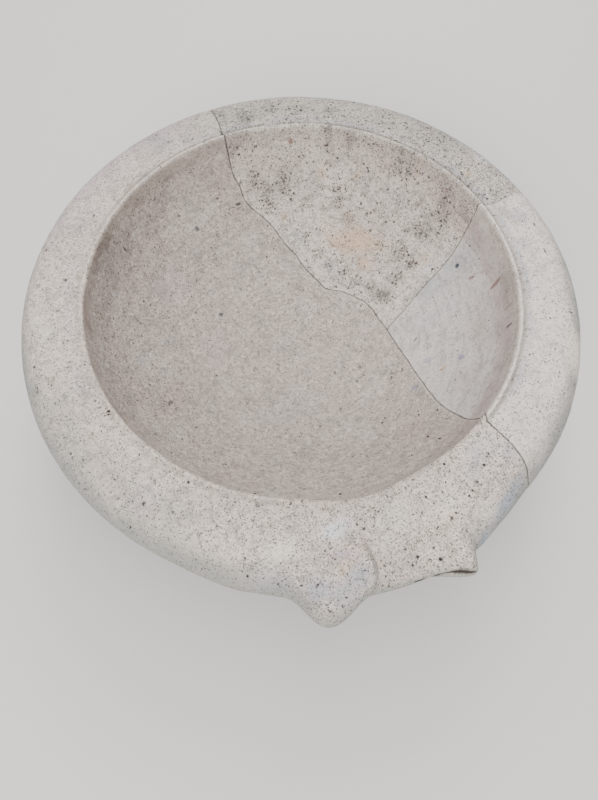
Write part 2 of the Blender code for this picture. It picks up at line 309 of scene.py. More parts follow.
def spoutRelief(points):
    # what the potter's fingers did to the top of the spout
    s = spout
    x, y = points[:, 0], points[:, 1]
    radius = np.hypot(x, y)
    out = (radius - bowl["mouthRadius"]) / (bowl["rimRadius"] - bowl["mouthRadius"])
    grow = ease(1.5 * out)
    near = lipShare(x * bowl["rimRadius"] / np.maximum(radius, 0.01))
    stepFar, stepSide, _ = nearPath(points, plan(s["stepLine"]))
    grooveFar, grooveSide, _ = nearPath(points, plan(s["grooveLine"]))
    rightOfStep = ease(0.5 + stepSide / s["stepWidth"])
    leftOfGroove = ease(0.5 - grooveSide / s["channelBank"])
    relief = -s["channelDepth"] * rightOfStep * leftOfGroove * grow
    behindStep = np.exp(-stepFar / s["stepFade"]) * ease((out - 0.42) / 0.30)
    relief += s["stepHeight"] * (1 - rightOfStep) * near * behindStep
    relief -= s["grooveDepth"] * np.exp(-(grooveFar / s["grooveWidth"]) ** 2) * ease(2.2 * out + 0.3)
    ridgeFar, _, _ = nearPath(points, plan(s["ridgeLine"]))
    relief += s["ridgeHeight"] * bell(ridgeFar, s["ridgeWidth"]) * (0.35 + 0.65 * grow) * near
    creaseFar, _, creaseAlong = nearPath(points, plan(s["creaseLine"]))
    taper = ease(creaseAlong / 0.3) * (0.4 + 0.6 * ease((1 - creaseAlong) / 0.2))
    relief -= s["creaseDepth"] * np.exp(-(creaseFar / s["creaseWidth"]) ** 2) * taper
    relief += (mound(x, y, s["pillow"]) + mound(x, y, s["lobe"])) * (1 - rightOfStep)
    return relief


def noiseField(points, scale, seed, octaves=3):
    # smooth unevenness, about -1 to 1, for points in metres
    shift = Vector((seed * 7.3, seed * 3.1, seed * 5.7))
    values = [noise.fractal(Vector(p) / scale + shift, 1.0, 2.1, octaves) for p in points.tolist()]
    return np.array(values)


def finePath(points, seed):
    # a break drawn out to short steps, rounded at its bends, that wander a little to both sides
    corners = plan(points)
    _, starts = stretches(corners)
    along = np.linspace(0, starts[-1], int(starts[-1] / breaks["step"]) + 1)
    path = np.column_stack([np.interp(along, starts, corners[:, axis]) for axis in (0, 1)])
    for _ in range(3):
        path[1:-1] = 0.25 * path[:-2] + 0.5 * path[1:-1] + 0.25 * path[2:]
    ahead = np.gradient(path, axis=0)
    ahead /= np.hypot(*ahead.T)[:, None]
    long = breaks["jitterLength"]
    wander = [noise.fractal(Vector((x / long, y / long, seed)), 0.8, 2.2, 4) for x, y in path.tolist()]
    fade = ease(np.minimum(along, along[-1] - along) / breaks["jitterFade"])
    push = np.array(wander) * breaks["jitter"] * fade
    return path + np.column_stack([-ahead[:, 1], ahead[:, 0]]) * push[:, None]


longPath = finePath(breaks["long"], 1.5)
shortPath = finePath(breaks["short"], 4.5)
meetingIndex = int(np.argmin(np.hypot(*(longPath - shortPath[0]).T)))
longPath[meetingIndex] = shortPath[0]


def addObject(name, data):
    made = bpy.data.objects.new(name, data)
    bpy.context.scene.collection.objects.link(made)
    return made


def meshFrom(shape, name):
    mesh = bpy.data.meshes.new(name)
    shape.to_mesh(mesh)
    shape.free()
    return mesh


def readVectors(items, key):
    flat = np.empty(len(items) * 3)
    items.foreach_get(key, flat)
    return flat.reshape(-1, 3)


def setCoordinates(mesh, points):
    mesh.vertices.foreach_set("co", points.ravel())
    mesh.update()


def turnBowl():
    # the section is spun on the wheel's axis
    plain, _ = bowlSection()
    wheelHead = bmesh.new()
    verts = [wheelHead.verts.new((radius, 0.0, level)) for radius, level in plain]
    edges = [wheelHead.edges.new(pair) for pair in zip(verts, verts[1:])]
    bmesh.ops.spin(wheelHead, geom=verts + edges, axis=(0, 0, 1), angle=2 * math.pi,
                   steps=bowl["turnSteps"], use_merge=True)
    poles = [v for v in wheelHead.verts if math.hypot(v.co.x, v.co.y) < 1e-5]
    bmesh.ops.remove_doubles(wheelHead, verts=poles, dist=1e-6)
    bmesh.ops.recalc_face_normals(wheelHead, faces=wheelHead.faces)
    return meshFrom(wheelHead, "turnedBowl")


def pullSpout(mesh):
    # every point keeps its place in the section, and the section changes round the spout
    plain, marks = bowlSection()
    plain = np.array(plain)
    tree = KDTree(len(plain))
    for i, (radius, level) in enumerate(plain):
        tree.insert((radius, level, 0.0), i)
    tree.balance()
    points = readVectors(mesh.vertices, "co")
    radius = np.hypot(*points[:, :2].T)
    place = np.array([tree.find((r, z, 0.0))[1] for r, z in zip(radius, points[:, 2])])
    turn = np.arctan2(points[:, 0], -points[:, 1])
    steps = bowl["turnSteps"]
    step = 2 * math.pi / steps
    stepIndex = np.rint(turn / step).astype(int) % steps
    sections = np.tile(plain, (steps, 1, 1))
    angles = np.zeros(steps)
    for i in range(steps):
        turned = (i * step + math.pi) % (2 * math.pi) - math.pi
        angles[i] = turned - bowl["spoutCrowding"] * math.sin(turned)
        bead = float(beadLeft(angles[i]))
        pull = float(mouthPull(math.sin(angles[i]), -math.cos(angles[i])))
        reach = lip = 0.0
        if abs(angles[i]) < math.radians(spout["halfSector"]):
            across = bowl["rimRadius"] * math.sin(angles[i])
            reach, lip = float(spoutReach(across)), float(lipShare(across))
            bead *= float(beadShare(across))
        sections[i] = bowlSection(reach, lip, bead, pull)[0]
    new = sections[stepIndex, place]
    angle = angles[stepIndex]
    moved = np.column_stack([new[:, 0] * np.sin(angle), -new[:, 0] * np.cos(angle), new[:, 1]])
    top = np.interp(place, [marks["bead"], marks["crest"], marks["under"], marks["under"] + 1], [0, 1, 1, 0])
    inFront = (moved[:, 1] < -0.05) & (top > 0)
    relief = np.zeros(len(moved))
    relief[inFront] = spoutRelief(moved[inFront]) * top[inFront]
    moved[:, 2] += relief
    setCoordinates(mesh, moved)


def breakDistance(points, reach=0.006):
    # how far each point lies from the nearest break in plan, up to reach
    far = np.full(len(points), reach)
    for coarse, fine in ((plan(breaks["long"]), longPath), (plan(breaks["short"]), shortPath)):
        rough = nearPath(points, coarse)[0]
        near = rough < reach + 0.001
        exact = nearPath(points[near], fine)[0]
        far[near] = np.minimum(far[near], exact)
    return far


def farFrom(points, x, y):
    # distance in plan from a place given in millimetres
    return np.hypot(points[:, 0] - x / 1000, points[:, 1] - y / 1000)


def foldCrack(points):
    # distance from the crack of the fold, and how wide it gapes there
    far, _, along = nearPath(points, plan(spout["foldLine"]))
    widest, span = spout["foldWidest"]
    return far, spout["foldGap"] * (0.25 + 0.75 * bell(along - widest, span))


def insideShare(points):
    # 1 on the inner surface and 0 on the outer one
    radius = np.hypot(*points[:, :2].T)
    depth = bowl["bowlTop"] - bowl["floor"]
    shell = (radius / bowl["mouthRadius"]) ** 2 + ((points[:, 2] - bowl["bowlTop"]) / depth) ** 2
    return 1 - ease((shell - 1.03) / 0.05)


def topSide(points):
    radius = np.hypot(*points[:, :2].T)
    onFlange = (radius > bowl["mouthRadius"]) & (points[:, 2] > bowl["flangeTop"] - 0.020)
    return onFlange | (insideShare(points) > 0.5)


def refine(mesh):
    # shorter edges along the breaks and the fold, and round the pits and small marks
    fine = bmesh.new()
    fine.from_mesh(mesh)
    spots = [(x, y, size) for x, y, size, _ in pits]
    spots += [(mark[0], mark[1], max(mark[2], mark[3])) for mark in marksInClay]
    fold = plan(spout["foldLine"])
    margin = 0.001
    for band in (1.0, 0.6):
        points = np.array([v.co for v in fine.verts])
        top = topSide(points)
        near = breakDistance(points) < breaks["band"] * band * np.where(top, 1.0, 0.5)
        near |= nearPath(points, fold)[0] < spout["foldBand"] * band
        for x, y, size in spots:
            near |= (farFrom(points, x, y) < (size / 1000 + margin) * band * 1.3) & top
        fine.verts.index_update()
        edges = [e for e in fine.edges if near[e.verts[0].index] and near[e.verts[1].index]]
        bmesh.ops.subdivide_edges(fine, edges=edges, cuts=1, use_grid_fill=True)
    bmesh.ops.triangulate(fine, faces=fine.faces)
    fine.to_mesh(mesh)
    fine.free()


def weather(mesh):
    # the wheel's ridges, unevenness, pits, and the edges that wore away along the breaks
    points = readVectors(mesh.vertices, "co")
    normals = readVectors(mesh.vertices, "normal")
    radius = np.hypot(*points[:, :2].T)
    inside = insideShare(points)
    top = topSide(points)
    height = sum(high * noiseField(points, *pattern) for high, *pattern in wheel["uneven"])
    stray, *swirl = wheel["ridgeSwirl"]
    ridges = np.sin(2 * np.pi * radius / wheel["ridgePitch"] + stray * noiseField(points, *swirl))
    height += wheel["ridgeHeight"] * ridges * (0.4 + 0.6 * inside) * ease(radius / 0.03)
    foot = points[:, 2] < wheel["footBand"]
    height[foot] = -np.abs(height[foot])

    far = breakDistance(points)
    wander = noiseField(points, *breaks["chipPattern"])
    chipped = ease((wander - 0.35) / 0.25)
    width = breaks["wornWidth"] * (1 + 0.5 * wander) + breaks["chipWidth"] * chipped
    depth = breaks["wornDepth"] * (1 + 0.4 * wander) + breaks["chipDepth"] * chipped
    for x, y, size in breaks["chips"]:
        near = bell(farFrom(points, x, y), size / 1000)
        width += near * size * 0.0005
        depth += near * size * 0.00035
    height -= depth * np.clip(1 - far / width, 0, 1) ** 1.3

    foldFar, foldWide = foldCrack(points)
    height -= foldWide * 1.3 * np.clip(1 - foldFar / foldWide, 0, 1) * top
    for x, y, size, deep in pits:
        off = farFrom(points, x, y) * (1 + 0.25 * wander)
        height -= deep / 1000 * np.clip(1 - (off / (size / 1000)) ** 2, 0, 1) * top
    height = np.clip(height, wheel["deepest"], wheel["highest"])
    setCoordinates(mesh, points + normals * height[:, None])


def shifted(path, shift):
    # the path moved sideways by half the gap, to its left where shift is positive
    ahead = np.diff(path, axis=0)
    ahead /= np.hypot(*ahead.T)[:, None]
    before = np.vstack([ahead[:1], ahead])
    after = np.vstack([ahead, ahead[-1:]])
    middle = before + after
    middle /= np.hypot(*middle.T)[:, None]
    stretch = 1 / np.maximum(0.5, np.sum(middle * before, axis=1))
    return path + np.column_stack([-middle[:, 1], middle[:, 0]]) * (shift * stretch)[:, None]


def sherdRegion(name, path, shift, turn):
    # an upright block over one sherd's share of the plan, bounded by the breaks
    path = shifted(path, shift)
    start = math.atan2(path[-1][1], path[-1][0])
    swing = math.atan2(path[0][1], path[0][0]) - start
    swing = turn * ((turn * swing) % (2 * math.pi))
    around = [start + swing * i / 12 for i in range(13)]
    beyond, below = 1.6 * bowl["rimRadius"], 0.03
    arc = [(beyond * math.cos(a), beyond * math.sin(a)) for a in around]
    block = bmesh.new()
    corners = [block.verts.new((x, y, -below)) for x, y in [*path.tolist(), *arc]]
    block.faces.new(corners)
    bmesh.ops.triangulate(block, faces=block.faces, ngon_method="EAR_CLIP")
    raised = bmesh.ops.extrude_face_region(block, geom=block.faces[:])["geom"]
    lifted = [item for item in raised if isinstance(item, bmesh.types.BMVert)]
    bmesh.ops.translate(block, verts=lifted, vec=(0, 0, bowl["height"] + 2 * below))
    bmesh.ops.recalc_face_normals(block, faces=block.faces)
    return addObject(name, meshFrom(block, name))


def breakOff(name, whole, region):
    # the clay inside one region becomes a sherd
    piece = addObject(name, whole)
    cut = piece.modifiers.new("break", "BOOLEAN")
    cut.operation = "INTERSECT"
    cut.solver = "MANIFOLD"
    cut.object = region
    shown = piece.evaluated_get(bpy.context.evaluated_depsgraph_get())
    mesh = bpy.data.meshes.new_from_object(shown)
    mesh.name = name
    piece.modifiers.clear()
    piece.data = mesh
    mesh.materials.clear()
    mesh.shade_smooth()
    mesh.set_sharp_from_angle(angle=math.radians(38))
    print(name, len(mesh.polygons), "triangles")
    return piece


# What has soaked into the clay, or lies on it; some also serve as painted shade
tints = {
    "orange": (0.62, 0.4, 0.25), "ochre": (0.47, 0.33, 0.16), "blueGrey": (0.29, 0.32, 0.37),
    "greenGrey": (0.3, 0.295, 0.265), "gritGrey": (0.12, 0.112, 0.1), "lilac": (0.42, 0.33, 0.38),
    "brown": (0.22, 0.17, 0.145), "pinkBrown": (0.34, 0.25, 0.23), "rust": (0.17, 0.085, 0.05),
    "red": (0.2, 0.1, 0.09), "purple": (0.2, 0.19, 0.3), "dark": (0.04, 0.034, 0.03),
    "blueBlack": (0.03, 0.04, 0.06), "pale": (0.66, 0.68, 0.72), "cream": (0.76, 0.69, 0.6),
}

# Wide, soft stains in plan, in millimetres: place, half sizes, turn, strength and colour
stains = [
    (58, 62, 19, 13, -30, 0.68, "orange"), (72, 56, 9, 6, 0, 0.3, "orange"),
    (62, 46, 8, 6, 0, 0.45, "orange"), (46, 67, 7, 8, 0, 0.35, "orange"), (44, 78, 8, 6, 0, 0.2, "orange"),
    (-28, -155, 7, 5, 0, 0.25, "orange"), (28, -148, 8, 5, 60, 0.15, "orange"),
    (126.2, 49.5, 7, 4, 120, 0.45, "ochre"), (48, 103.9, 6, 4, 0, 0.35, "ochre"),
    (69.3, 93.1, 6, 4, 0, 0.35, "ochre"), (94.9, 27.2, 6, 5, 0, 0.35, "ochre"),
    (101.9, 70.7, 5, 3, 0, 0.3, "ochre"), (16, 93, 4, 3, 0, 0.45, "ochre"),
    (74, 50, 10, 7, 0, 0.25, "ochre"), (-9.1, 61.2, 3.2, 2.6, 0, 0.45, "blueGrey"),
    (-46.6, 55.3, 3.4, 2.8, 0, 0.45, "blueGrey"), (-102.6, 5.5, 3.4, 2.4, 0, 0.6, "blueGrey"),
    (-92, -2, 3, 3, 0, 0.4, "blueGrey"), (22, 80, 9, 4, -60, 0.45, "blueGrey"),
    (38, 55, 8, 4, -50, 0.4, "blueGrey"), (50, 36, 9, 4, -40, 0.35, "blueGrey"),
    (95, 6, 16, 11, 20, 0.35, "blueGrey"), (112, 12, 10, 8, 20, 0.4, "blueGrey"),
    (84, -12, 12, 9, 0, 0.22, "blueGrey"), (141, 10, 12, 9, 90, 0.45, "blueGrey"),
    (134, 15, 8, 10, 0, 0.6, "greenGrey"), (138, 30, 9, 8, 0, 0.5, "greenGrey"),
    (136, -10, 7, 12, 0, 0.25, "blueGrey"), (60, -120, 15, 9, 30, 0.45, "blueGrey"),
    (72, -126, 8, 8, 0, 0.45, "blueGrey"), (50, -131, 9, 5, 45, 0.3, "blueGrey"),
    # the two strong blue-grey stains at (63, -148) and (45, -162) darken the spur's outer slope: painted
    # shade, partly grime
    (63, -148, 17, 6, 40, 0.8, "blueGrey"), (45, -162, 9, 5, 50, 0.8, "blueGrey"),
    (78, -137, 6, 5, 0, 0.35, "greenGrey"), (-22, -161, 9, 8, 0, 0.6, "blueGrey"),
    # the lilac stain along the crease at (-27, -149.5) is painted shade in the crease
    (-38, -175, 12, 6, 20, 0.5, "greenGrey"), (-27, -149.5, 12, 4, -15, 0.65, "lilac"),
    (-42, -162, 11, 9, 0, 0.65, "blueGrey"), (-32, -153, 8, 4, 0, 0.5, "greenGrey"),
    (-31, -167, 13, 9, 0, 0.42, "blueGrey"), (-60, -152, 14, 6, -15, 0.35, "blueGrey"),
    (-85, -138, 16, 6, -35, 0.4, "greenGrey"), (-27, -138, 11, 7, 0, 0.65, "pale"),
    (-50, -140, 16, 9, 0, 0.45, "cream"), (5, -140, 14, 12, 0, 0.3, "cream"),
    (30, -141, 20, 12, 15, 0.32, "cream"), (64, -118, 14, 11, 35, 0.3, "cream"),
    (130, -55, 14, 20, -20, 0.45, "cream"), (134, -84, 9, 24, -32, 0.9, "cream"),
    (50, -150, 7, 12, -30, 0.35, "cream"), (-146, 20, 9, 30, 5, 0.3, "cream"),
    (-122, -74, 13, 24, 33, 0.22, "pinkBrown"), (-110, -96, 12, 12, 0, 0.2, "lilac"),
    (-55, 18, 22, 14, 20, 0.12, "lilac"), (-20, -40, 30, 16, 10, 0.14, "blueGrey"),
    (20, 5, 18, 12, 0, 0.16, "pinkBrown"), (-70, 60, 20, 14, 30, 0.16, "lilac"),
    (-88, -22, 16, 20, 0, 0.16, "pinkBrown"), (0, 50, 16, 10, 0, 0.14, "cream"),
    (66, 19.5, 11, 6, -25, 0.75, "gritGrey"), (-86, 20, 3.5, 2.2, -30, 0.6, "blueGrey"),
    (86, -66, 14, 10, 30, 0.25, "pinkBrown"), (104, -40, 8, 22, -20, 0.3, "pinkBrown"),
    (48, -84, 16, 10, 30, 0.18, "pinkBrown"), (86, 86, 14, 6, -45, 0.25, "pinkBrown"),
    (20, 116, 16, 4, -10, 0.2, "pinkBrown"), (112, 45, 8, 12, 10, 0.25, "pinkBrown"),
    (117, 88, 16, 7, -50, 0.25, "pinkBrown"), (140, 62, 8, 6, 0, 0.35, "pale"),
    (96, 20, 5, 3, 0, 0.55, "pale"), (122, -110, 8, 12, -40, 0.25, "pinkBrown"),
    (150, -40, 6, 22, -12, 0.18, "pinkBrown"),
]

# Rings of colour: inner and outer radius in millimetres, from and to in degrees, strength and colour
rings = [
    # the rings that reach out to 168 to 178 mm darken the flange's outer slope: painted shade, partly grime;
    # the blue-grey rings from 126.5 and 127 mm darken the groove beside the bead: painted shade, partly
    # grime
    (126.5, 134, 40, 112, 0.42, "blueGrey"), (152, 176, 15, 102, 0.75, "blueGrey"),
    (128, 165, 30, 118, 0.55, "greenGrey"), (130, 165, 105, 150, 0.25, "lilac"),
    (138, 165, 188, 232, 0.5, "greenGrey"), (149, 157, 103, 150, 0.4, "lilac"),
    (158, 176, 102, 178, 0.35, "blueGrey"), (154, 178, 176, 250, 0.5, "greenGrey"),
    (158, 178, 168, 215, 0.3, "blueGrey"), (157, 178, -64, 40, 0.75, "blueGrey"),
    (151, 168, -66, -4, 0.55, "greenGrey"), (127, 133, -52, 34, 0.5, "blueGrey"),
    # the brown rings just inside the mouth on the left are painted shadow under the bead; the pink-brown
    # ones on the right darken the wall under the bead, partly its own colour and partly painted shade
    (112, 124.5, 96, 225, 0.08, "brown"), (122.7, 124.7, 92, 212, 0.9, "brown"),
    (121.5, 124.6, 212, 262, 0.4, "brown"), (117.5, 124.5, -62, 28, 0.6, "pinkBrown"),
    (119, 124.5, 26, 92, 0.1, "pinkBrown"), (129, 136, 150, 200, 0.25, "lilac"),
]

# Small marks: place, half sizes, turn, strength and colour, in millimetres and degrees
marksInClay = [
    (-13.5, 104.9, 2, 0.8, 5, 0.9, "dark"), (-45.9, 93.7, 1.5, 1.3, 0, 0.8, "blueBlack"),
    (-55.6, 99, 0.8, 0.8, 0, 0.6, "dark"), (-94.3, 73.2, 0.8, 0.8, 0, 0.7, "dark"),
    (-45.8, 38.7, 1.5, 1.2, 0, 0.75, "blueBlack"), (-73.7, 78.8, 1.9, 0.7, -50, 0.6, "brown"),
    (-74.8, 93.2, 1.7, 0.6, -40, 0.6, "brown"), (-91.9, -25, 2, 1, 40, 0.65, "dark"),
    (-80, 17, 1.9, 0.6, 60, 0.6, "brown"), (110.3, 9.2, 1, 1.4, 5, 0.95, "blueBlack"),
    (113.3, -4.6, 1.5, 1, -40, 0.75, "red"), (118.2, -20.5, 2.2, 1.2, 20, 0.8, "red"),
    (17.1, -23.9, 0.6, 1.6, -10, 0.85, "dark"), (9.5, 7.2, 0.7, 0.7, 0, 0.7, "dark"),
    (114.8, -41.1, 1.1, 0.6, 0, 0.7, "brown"), (98.4, -10.6, 2.4, 0.5, 60, 0.55, "purple"),
    (97, -14.6, 2.2, 0.5, -10, 0.5, "purple"), (73.4, -22.4, 1.6, 0.6, 30, 0.7, "dark"),
    (57.8, -39.6, 0.6, 1.7, -20, 0.85, "dark"), (51.4, -38.6, 0.4, 2.6, 10, 0.7, "dark"),
    (49.6, -42.8, 1.6, 0.4, 50, 0.6, "dark"), (59.3, -56, 2.6, 1, 10, 0.7, "purple"),
    (89.4, -50.9, 1.5, 2.2, -20, 0.75, "purple"), (74.1, -41, 3, 2.2, 0, 0.4, "purple"),
    (78.5, -51.8, 3.4, 0.9, 20, 0.6, "ochre"), (84.3, -60.4, 0.5, 2.6, 10, 0.45, "brown"),
    (86.6, -82.6, 3, 0.5, 35, 0.5, "brown"), (75.3, -89.8, 1.6, 0.6, 20, 0.5, "brown"),
    (110, -52.8, 0.8, 0.8, 0, 0.8, "dark"), (39.8, -82.9, 2.6, 0.4, 50, 0.45, "brown"),
    (29.4, 118.9, 1.5, 0.38, -14, 0.75, "rust"), (-13.3, 123, 0.7, 1.5, 10, 0.85, "dark"),
    (-154.2, -20.5, 1, 0.8, 0, 0.7, "dark"), (-76, -4, 1.6, 0.5, 70, 0.45, "brown"),
    (12, -50, 2, 0.4, 10, 0.35, "brown"), (-20, -88, 2.4, 0.5, 0, 0.35, "brown"),
    (92.6, -65.5, 4, 1.8, 20, 0.3, "brown"),
]

# How thickly the dark specks lie, and the grit of the gritty sherd, as shares. The left wall's
# middle and half width are in degrees, and the start and half width by the spout in metres.
specks = {"all": 0.46, "leftWall": 0.36, "flange": 0.16, "patchy": 0.32, "nearSpout": 0.36,
          "grittyFlange": 0.45, "smoothInside": 0.30, "smoothFlange": 0.55,
          "leftMiddle": 175, "leftHalf": 70, "nearStart": -0.085, "nearHalf": 0.085}
crowding = {"inside": 0.08, "flange": 0.26, "patchy": 0.30, "tint": 0.36}

# Edges of the finishes and of the painted shade and highlight: widths and seeds of their unevenness, and how
# softly they end
finishAndShade = {"wander": (0.0035, 8.0), "patchy": (0.014, 9.0), "worn": 0.0014, "groove": 0.0012, "bead": 0.0015,
          # strength, unevenness and the share taken off at the back of the painted shade on the flange's
          # outer slope
          "edgeShadeAndGrime": 0.84, "edgeUneven": 0.30, "edgeFarFainter": 0.60}

# Where grit crowds together on the gritty sherd: place and radius
gritClusters = [
    (110, 45, 7), (110, 38, 6), (98, 46, 7), (100, 39, 7), (92, 50, 6), (33, 64, 6), (46, 46, 6),
    (38, 55, 5), (52, 36, 6), (60, 28, 7), (66.6, 19, 10), (78, 26, 8), (60, 76, 7), (55, 88, 6),
    (53, 112, 5), (66, 105, 6), (93, 81, 6), (98, 76, 6), (4, 137, 11), (22, 141, 10), (-12, 146, 9),
    (40, 134, 9), (58, 127, 7), (8, 106, 11), (22, 109, 10), (2, 114, 8), (82, 40, 9), (88, 30, 8),
    (28, 78, 6),
]


def spread(points, spot, wander, softness):
    # the share of a stain at each point, with an uneven edge; a mark's edge is the harder one
    x, y, halfX, halfY, turn = spot[:5]
    turn = math.radians(turn)
    cosine, sine = math.cos(turn), math.sin(turn)
    dx, dy = points[:, 0] * 1000 - x, points[:, 1] * 1000 - y
    across = (dx * cosine + dy * sine) / halfX
    along = (dy * cosine - dx * sine) / halfY
    return ease((1 - np.hypot(across, along) * (1 + 0.5 * wander)) / softness + 0.5 * (softness < 0.6))


def ringShare(points, ring, wander):
    inner, outer, start, end = ring[:4]
    radius = np.hypot(*points[:, :2].T) * 1000
    angle = np.degrees(np.arctan2(points[:, 1], points[:, 0]))
    middle, half = (inner + outer) / 2, (outer - inner) / 2
    fromMiddle = (angle - (start + end) / 2 + 180) % 360 - 180
    sector = ease(((end - start) / 2 - np.abs(fromMiddle)) / 12 + 0.5)
    return ease((1 - np.abs(radius - middle) / half + 0.5 * wander) / 0.6) * sector


def layOver(tint, share, amount, colour):
    # one stain or patch of painted shade over what is there already, weighed by its share
    amount = np.clip(amount, 0, 1)
    total = amount + share * (1 - amount)
    weight = np.where(total > 1e-6, amount / np.maximum(total, 1e-6), 0)
    tint += (np.array(tints[colour]) - tint) * weight[:, None]
    share[:] = total


# What paintMasks keeps on a piece and its look reads
maskNames = ("inside", "flange", "crack", "worn", "groove", "bead", "pit", "speckle", "cluster", "tintShare")


def paintMasks(piece, gritty, smooth):
    # where each finish, each stain and each painted shade and highlight shows, kept on the piece's own
    # points
    mesh = piece.data
    points = readVectors(mesh.vertices, "co")
    up = readVectors(mesh.vertices, "normal")[:, 2]
    radius = np.hypot(*points[:, :2].T)
    angle = np.degrees(np.arctan2(points[:, 1], points[:, 0]))
    across = points[:, 0] * bowl["rimRadius"] / np.maximum(radius, 0.01)
    past = radius - bowl["mouthRadius"] - mouthPull(points[:, 0], points[:, 1])
    inside = insideShare(points) * (1 - ease((past + 0.001) / 0.002))
    above = ease((up + 0.35) / 0.5)
    flange = above * ease((past + 0.002) / 0.003) * (points[:, 2] > 0.055)
    onTop = np.maximum(inside, flange)
    wander = noiseField(points, *finishAndShade["wander"])
    patchy = noiseField(points, *finishAndShade["patchy"])

    far = breakDistance(points)
    shortFar = nearPath(points, plan(breaks["short"]))[0]
    isShort = ease((0.0025 - shortFar) / 0.001)
    held = np.where(radius > bowl["mouthRadius"] + 0.002, breaks["shortOutside"], breaks["shortInside"])
    strength = 1 - isShort * (1 - held)
    # a near-black line along each break: painted shadow in the gap, partly dirt
    crack = np.exp(-(far / (breaks["darkWidth"] * (1 + 0.5 * wander))) ** 2) * strength
    worn = np.exp(-(far / (finishAndShade["worn"] * (1 + 0.6 * wander))) ** 2) * (0.6 + 0.8 * patchy)
    foldFar, foldWide = foldCrack(points)
    # the crack of the fold is darkened as well: painted shade in the crack
    crack = np.maximum(crack, ease(1.25 - foldFar / foldWide) * (points[:, 2] > 0.06))

    beadHere = np.where(points[:, 1] < 0, beadShare(across), 1.0)
    beadHere *= beadLeft(np.arctan2(points[:, 0], -points[:, 1]))
    # the groove outside the bead is darkened: painted shade, partly grime
    grooveFar = (past - bowl["beadWidth"] - 0.5 * bowl["grooveWidth"]) / finishAndShade["groove"]
    groove = np.exp(-grooveFar ** 2) * flange * beadHere
    # the bead's crest is lightened: painted highlight, partly wear
    bead = ease((past + 0.0008) / finishAndShade["bead"])
    bead *= (1 - ease((past - bowl["beadWidth"] + 0.001) / finishAndShade["bead"])) * flange * beadHere
    # the pits are darkened: painted shade in the hollows, partly dirt
    pit = np.zeros(len(points))
    for x, y, size, _ in pits:
        off = 1000 * farFrom(points, x, y) * (1 + 0.25 * wander)
        pit = np.maximum(pit, ease((1.05 * size - off) / (0.45 * size)))
    pit *= above

    tint = np.tile(np.array(tints["cream"]), (len(points), 1))
    share = np.zeros(len(points))
    for ring in rings:
        inRing = ringShare(points, ring, wander) * (0.75 + 0.6 * patchy) * onTop
        layOver(tint, share, inRing * ring[4], ring[5])
    # the flange's outer side is darkened where it turns away from the top: painted shade, partly grime, less
    # so at the back
    slopeShade = ease((0.97 - up) / 0.50) * flange * ease((past - 0.02) / 0.01)
    slopeShade *= 1 - finishAndShade["edgeFarFainter"] * ease((points[:, 1] + 0.02) / 0.07)
    grimeAndShade = finishAndShade["edgeShadeAndGrime"] + finishAndShade["edgeUneven"] * patchy
    layOver(tint, share, slopeShade * grimeAndShade, "greenGrey")
    for spots, uneven, softness in ((stains, patchy, 0.9), (marksInClay, 0.4 * wander, 0.5)):
        for spot in spots:
            layOver(tint, share, spread(points, spot, uneven, softness) * spot[5] * onTop, spot[6])

    fromLeft = np.abs((angle - specks["leftMiddle"] + 180) % 360 - 180)
    leftWall = ease((radius - 0.070) / 0.04) * ease((specks["leftHalf"] - fromLeft) / 25)
    nearSpout = ease((specks["nearStart"] - points[:, 1]) / 0.03)
    nearSpout *= ease((specks["nearHalf"] - np.abs(points[:, 0])) / 0.02)
    speckle = specks["all"] + specks["leftWall"] * leftWall * inside + specks["flange"] * flange
    speckle += specks["patchy"] * patchy + specks["nearSpout"] * nearSpout * flange
    cluster = np.zeros(len(points))
    if gritty:
        speckle += specks["grittyFlange"] * flange
        cluster = crowding["inside"] * inside + crowding["flange"] * flange
        cluster += crowding["patchy"] * np.clip(patchy, 0, 1)
        for x, y, size in gritClusters:
            spot = bell(1000 * farFrom(points, x, y) * (1 + 0.4 * wander), size)
            cluster = np.maximum(cluster, spot)
            layOver(tint, share, crowding["tint"] * spot * (1 + 0.8 * wander) * onTop, "gritGrey")
        cluster *= onTop
    if smooth:
        speckle *= specks["smoothInside"] + specks["smoothFlange"] * flange
    masks = (inside, flange, crack, worn, groove, bead, pit, speckle, cluster, share)
    for name, values in zip(maskNames, masks):
        layer = mesh.attributes.new(name, "FLOAT", "POINT")
        layer.data.foreach_set("value", np.clip(values, 0, 1).astype(np.float32))
    layer = mesh.attributes.new("tint", "FLOAT_VECTOR", "POINT")
    layer.data.foreach_set("vector", tint.astype(np.float32).ravel())

    upright = np.abs(readVectors(mesh.polygons, "normal")[:, 2]) < 0.05
    broken = upright & (breakDistance(readVectors(mesh.polygons, "center")) < 0.0006)
    mesh.polygons.foreach_set("material_index", broken.astype(np.int32))


def addNode(tree, kind, inputs=None, **settings):
    # inputs are sockets of other nodes, numbers, vectors or colours
    made = tree.nodes.new("ShaderNode" + kind)
    for name, value in settings.items():
        setattr(made, name, value)
    for key, value in (inputs or {}).items():
        socket = made.inputs[key]
        if isinstance(value, bpy.types.NodeSocket):
            tree.links.new(value, socket)
        elif socket.type == "RGBA":
            socket.default_value = (*value, 1)
        else:
            socket.default_value = value
    return made


def calculate(tree, operation, a, b=0.0):
    return addNode(tree, "Math", {0: a, 1: b}, operation=operation).outputs[0]


def times(tree, a, b):
    return calculate(tree, "MULTIPLY", a, b)


def vectorMath(tree, operation, a, b=(0.0, 0.0, 0.0), scale=1.0):
    made = addNode(tree, "VectorMath", {0: a, 1: b, 3: scale}, operation=operation)
    return made.outputs["Value" if operation == "LENGTH" else "Vector"]


def mapRange(tree, value, limits, **settings):
    return addNode(tree, "MapRange", {"Value": value, **limits}, **settings).outputs["Result"]


